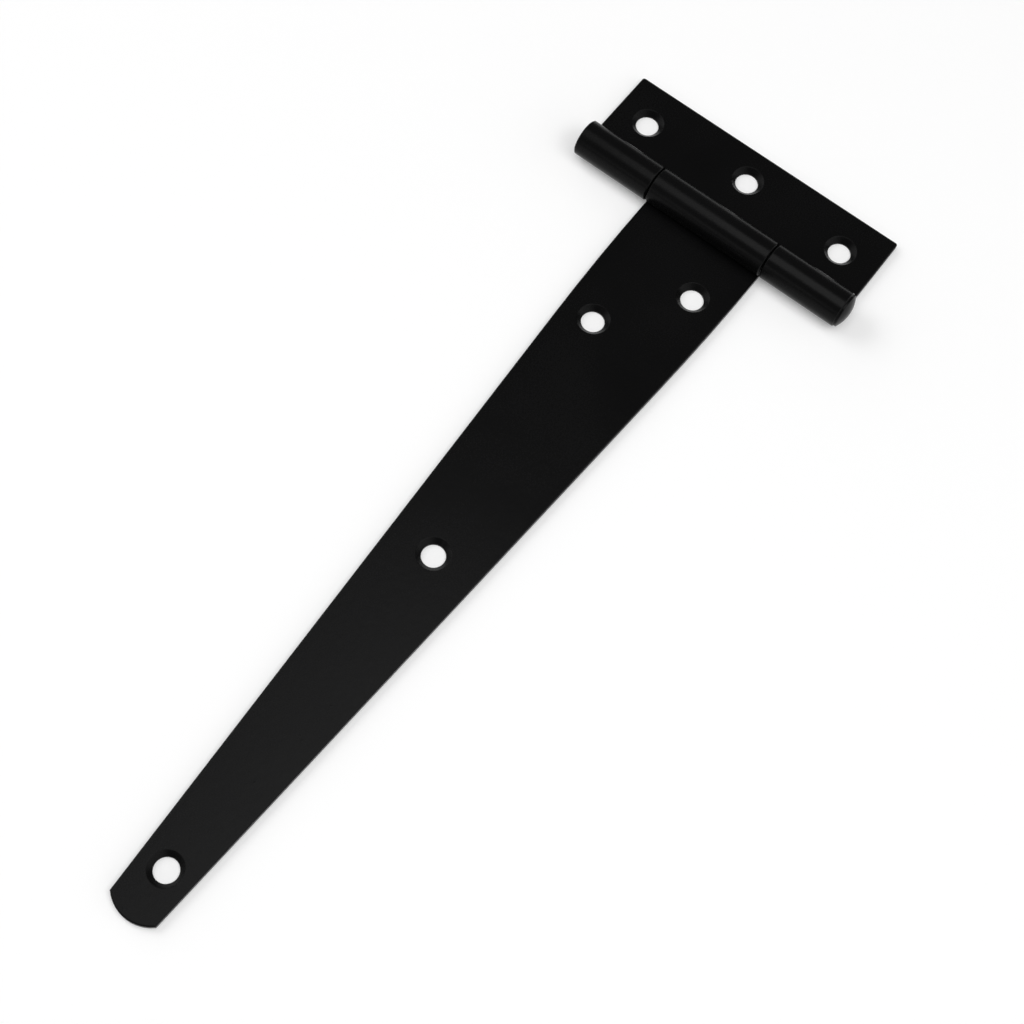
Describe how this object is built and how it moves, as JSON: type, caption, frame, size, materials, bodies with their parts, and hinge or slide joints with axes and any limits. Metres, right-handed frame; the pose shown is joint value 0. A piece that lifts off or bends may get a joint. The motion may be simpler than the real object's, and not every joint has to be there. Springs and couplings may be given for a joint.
{
  "type": "tee hinge",
  "caption": "Light steel tee hinge: a short flange leaf and a long tapered strap leaf on one pin, with countersunk screw holes and a black coat.",
  "frame": {"origin": "on the back plane of the leaves, right under the middle of the hinge pin", "axes": "+X along the strap towards its tip, +Y along the pin, +Z out of the front, the side with the knuckles and countersinks; the hinge lies open and flat on its backs"},
  "size_m": [0.2245, 0.0751, 0.0088],
  "materials": {
    "black_coat": "satin black coat"
  },
  "bodies": {
    "flange": {"flange_leaf": "black_coat", "hinge_pin": "black_coat"},
    "strap": {"strap_leaf": "black_coat"}
  },
  "joints": [
    {"name": "hinge", "type": "hinge", "parent": "flange", "child": "strap", "pos_m": [0, 0, 0.0044], "axis": [0, -1, 0], "range_deg": [-90, 180]}
  ]
}
